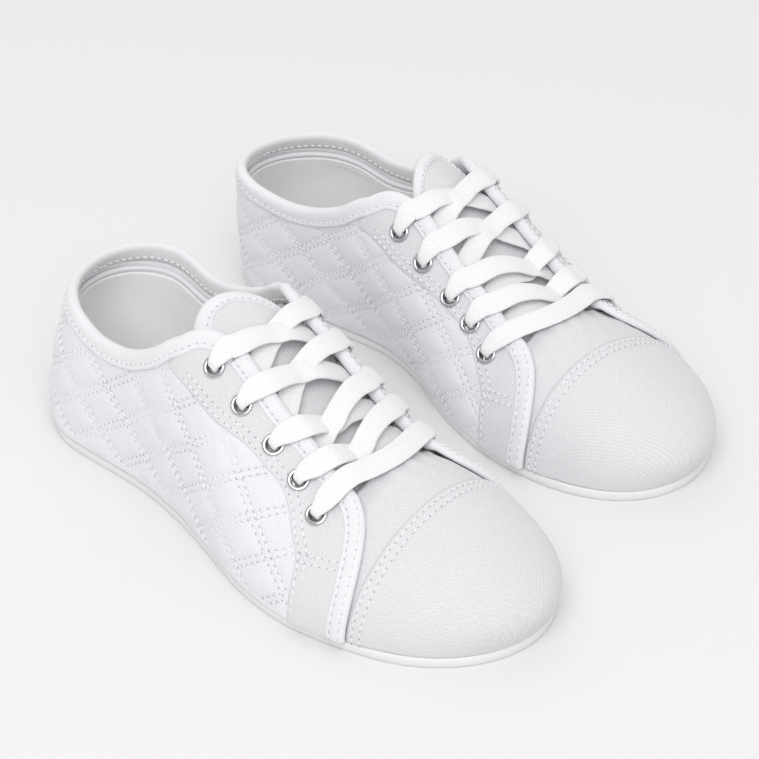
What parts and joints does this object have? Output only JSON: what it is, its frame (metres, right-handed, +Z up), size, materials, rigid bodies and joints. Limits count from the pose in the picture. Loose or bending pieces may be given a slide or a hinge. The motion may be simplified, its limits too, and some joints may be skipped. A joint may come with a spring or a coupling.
{
  "type": "cheer shoes",
  "caption": "Pair of low white canvas lace-up shoes with quilted sides, plain toe caps, metal eyelets and thin flexible rubber soles.",
  "frame": {"origin": "on the ground, under the middle of the pair's bounding box", "axes": "+Z up, heels towards +Y, toes towards -Y, right shoe on the -X side and left shoe on the +X side"},
  "size_m": [0.2264, 0.2699, 0.0839],
  "materials": {
    "sole_rubber": "matte moulded",
    "board": "matte fibre board",
    "footbed_textile": "matte",
    "canvas": "matte woven",
    "quilted_canvas": "matte woven, quilted",
    "tape": "matte",
    "lining": "matte",
    "lace_knit": "matte knit",
    "nickel": "polished nickel",
    "aglet_film": "clear film over lace"
  },
  "bodies": {
    "right_shoe": {"right_outsole": "sole_rubber", "right_insole_board": "board", "right_footbed": "footbed_textile", "right_toe_cap": "canvas", "right_toe_puff": "board", "right_vamp": "canvas", "right_lateral_quarter": "quilted_canvas", "right_medial_quarter": "quilted_canvas", "right_lateral_eyestay": "canvas", "right_medial_eyestay": "canvas", "right_lateral_eyelets": "nickel", "right_medial_eyelets": "nickel", "right_collar_tape": "tape", "right_lateral_front_tape": "tape", "right_medial_front_tape": "tape", "right_quarter_lining": "lining", "right_heel_counter": "board", "right_heel_pocket": "lining", "right_lace": "lace_knit", "right_aglets": "aglet_film"},
    "right_tongue_flap": {"right_tongue": "canvas", "right_tongue_tape": "tape"},
    "left_shoe": {"left_outsole": "sole_rubber", "left_insole_board": "board", "left_footbed": "footbed_textile", "left_toe_cap": "canvas", "left_toe_puff": "board", "left_vamp": "canvas", "left_lateral_quarter": "quilted_canvas", "left_medial_quarter": "quilted_canvas", "left_lateral_eyestay": "canvas", "left_medial_eyestay": "canvas", "left_lateral_eyelets": "nickel", "left_medial_eyelets": "nickel", "left_collar_tape": "tape", "left_lateral_front_tape": "tape", "left_medial_front_tape": "tape", "left_quarter_lining": "lining", "left_heel_counter": "board", "left_heel_pocket": "lining", "left_lace": "lace_knit", "left_aglets": "aglet_film"},
    "left_tongue_flap": {"left_tongue": "canvas", "left_tongue_tape": "tape"}
  },
  "joints": [
    {"name": "pair_separate", "type": "slide", "parent": "right_shoe", "child": "left_shoe", "axis": [1, 0, 0], "range_m": [0, 0.12]},
    {"name": "right_tongue_bend", "type": "hinge", "parent": "right_shoe", "child": "right_tongue_flap", "pos_m": [-0.05793, -0.07515, 0.039], "axis": [1, 0, 0], "range_deg": [-14, 0], "stiffness_Nm_per_rad": 0.02, "springref_deg": 17.19},
    {"name": "left_tongue_bend", "type": "hinge", "parent": "left_shoe", "child": "left_tongue_flap", "pos_m": [0.05627, -0.0554, 0.039], "axis": [0.9962, -0.0872, 0], "range_deg": [-14, 0], "stiffness_Nm_per_rad": 0.02, "springref_deg": 17.19}
  ]
}
